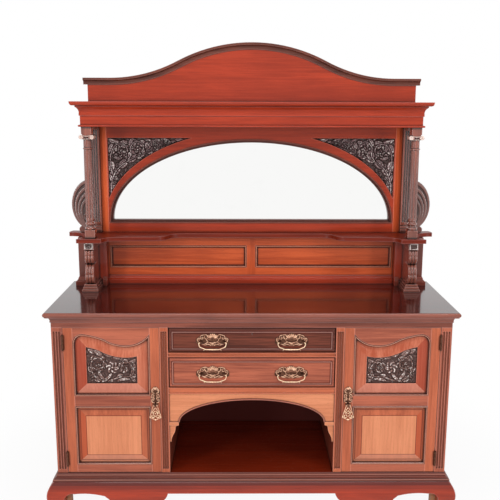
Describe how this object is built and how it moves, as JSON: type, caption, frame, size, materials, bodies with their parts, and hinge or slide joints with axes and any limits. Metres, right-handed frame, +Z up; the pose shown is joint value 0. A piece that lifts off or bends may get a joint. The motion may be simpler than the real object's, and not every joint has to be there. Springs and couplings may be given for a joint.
{
  "type": "sideboard",
  "caption": "Mirror-back wooden sideboard with panelled cupboards, drawers over an open kneehole, bracket plinth, columned shelf gallery and arched pediment.",
  "frame": {"origin": "on the floor, under the middle of the whole part's length and depth", "axes": "+X along the length, to the right as seen from the front; +Y from the front to the back; +Z up"},
  "size_m": [1.864, 0.627, 2.132],
  "materials": {
    "mahogany": "French polished red-brown mahogany",
    "pale_mahogany": "French polished mahogany, a lighter cut",
    "secondary_wood": "plain planed deal, unpolished",
    "brass": "aged cast brass",
    "mirror": "silvered plate glass"
  },
  "bodies": {
    "carcass": {"plinth_front": "mahogany", "plinth_ends": "mahogany", "base_moulding": "mahogany", "end_panels": "mahogany", "pilasters": "mahogany", "top_front_rail": "mahogany", "worktop": "mahogany", "drawer_rails": "mahogany", "corbels": "mahogany", "gallery_frame": "mahogany", "gallery_panels": "mahogany", "gallery_base_moulding": "mahogany", "piers": "mahogany", "consoles": "mahogany", "gallery_shelf": "mahogany", "columns": "mahogany", "posts": "mahogany", "scroll_wings": "mahogany", "mirror_frame": "mahogany", "mirror_bead": "mahogany", "spandrels": "mahogany", "frieze": "mahogany", "canopy_soffit": "mahogany", "cornice": "mahogany", "pediment_board": "mahogany", "pediment_cap": "mahogany", "arched_apron": "pale_mahogany", "plinth_rear_rail": "secondary_wood", "bottom_board": "secondary_wood", "partitions": "secondary_wood", "carcass_back_boards": "secondary_wood", "cupboard_shelves": "secondary_wood", "dust_boards": "secondary_wood", "mirror_backing": "secondary_wood", "mirror_glass": "mirror", "hinge_case_leaves": "brass"},
    "left_door": {"left_door_frame": "mahogany", "left_door_upper_panel": "mahogany", "left_door_lower_panel": "pale_mahogany", "left_door_mouldings": "mahogany", "left_door_lock_and_plate": "brass", "left_door_hinge_leaves": "brass"},
    "left_door_drop": {"left_door_drop_handle": "brass"},
    "right_door": {"right_door_frame": "mahogany", "right_door_upper_panel": "mahogany", "right_door_lower_panel": "pale_mahogany", "right_door_mouldings": "mahogany", "right_door_lock_and_plate": "brass", "right_door_hinge_leaves": "brass"},
    "right_door_drop": {"right_door_drop_handle": "brass"},
    "upper_drawer": {"upper_drawer_front": "mahogany", "upper_drawer_box": "secondary_wood", "upper_drawer_handle_plates": "brass"},
    "upper_drawer_left_bail": {"upper_drawer_left_bail": "brass"},
    "upper_drawer_right_bail": {"upper_drawer_right_bail": "brass"},
    "lower_drawer": {"lower_drawer_front": "mahogany", "lower_drawer_box": "secondary_wood", "lower_drawer_handle_plates": "brass"},
    "lower_drawer_left_bail": {"lower_drawer_left_bail": "brass"},
    "lower_drawer_right_bail": {"lower_drawer_right_bail": "brass"}
  },
  "joints": [
    {"name": "left_door_hinge", "type": "hinge", "parent": "carcass", "child": "left_door", "pos_m": [-0.83825, -0.2735, 0.5425], "axis": [0, 0, -1], "range_deg": [0, 100]},
    {"name": "left_door_drop_swing", "type": "hinge", "parent": "left_door", "child": "left_door_drop", "pos_m": [-0.4335, -0.2805, 0.5295], "axis": [-1, 0, 0], "range_deg": [-6, 90]},
    {"name": "right_door_hinge", "type": "hinge", "parent": "carcass", "child": "right_door", "pos_m": [0.83825, -0.2735, 0.5425], "axis": [0, 0, 1], "range_deg": [0, 100]},
    {"name": "right_door_drop_swing", "type": "hinge", "parent": "right_door", "child": "right_door_drop", "pos_m": [0.4335, -0.2805, 0.5295], "axis": [-1, 0, 0], "range_deg": [-6, 90]},
    {"name": "upper_drawer_slide", "type": "slide", "parent": "carcass", "child": "upper_drawer", "axis": [0, -1, 0], "range_m": [0, 0.4]},
    {"name": "upper_drawer_left_bail_swing", "type": "hinge", "parent": "upper_drawer", "child": "upper_drawer_left_bail", "pos_m": [-0.175, -0.2845, 0.823], "axis": [-1, 0, 0], "range_deg": [-12, 90]},
    {"name": "upper_drawer_right_bail_swing", "type": "hinge", "parent": "upper_drawer", "child": "upper_drawer_right_bail", "pos_m": [0.175, -0.2845, 0.823], "axis": [-1, 0, 0], "range_deg": [-12, 90]},
    {"name": "lower_drawer_slide", "type": "slide", "parent": "carcass", "child": "lower_drawer", "axis": [0, -1, 0], "range_m": [0, 0.4]},
    {"name": "lower_drawer_left_bail_swing", "type": "hinge", "parent": "lower_drawer", "child": "lower_drawer_left_bail", "pos_m": [-0.175, -0.2845, 0.672], "axis": [-1, 0, 0], "range_deg": [-12, 90]},
    {"name": "lower_drawer_right_bail_swing", "type": "hinge", "parent": "lower_drawer", "child": "lower_drawer_right_bail", "pos_m": [0.175, -0.2845, 0.672], "axis": [-1, 0, 0], "range_deg": [-12, 90]}
  ]
}
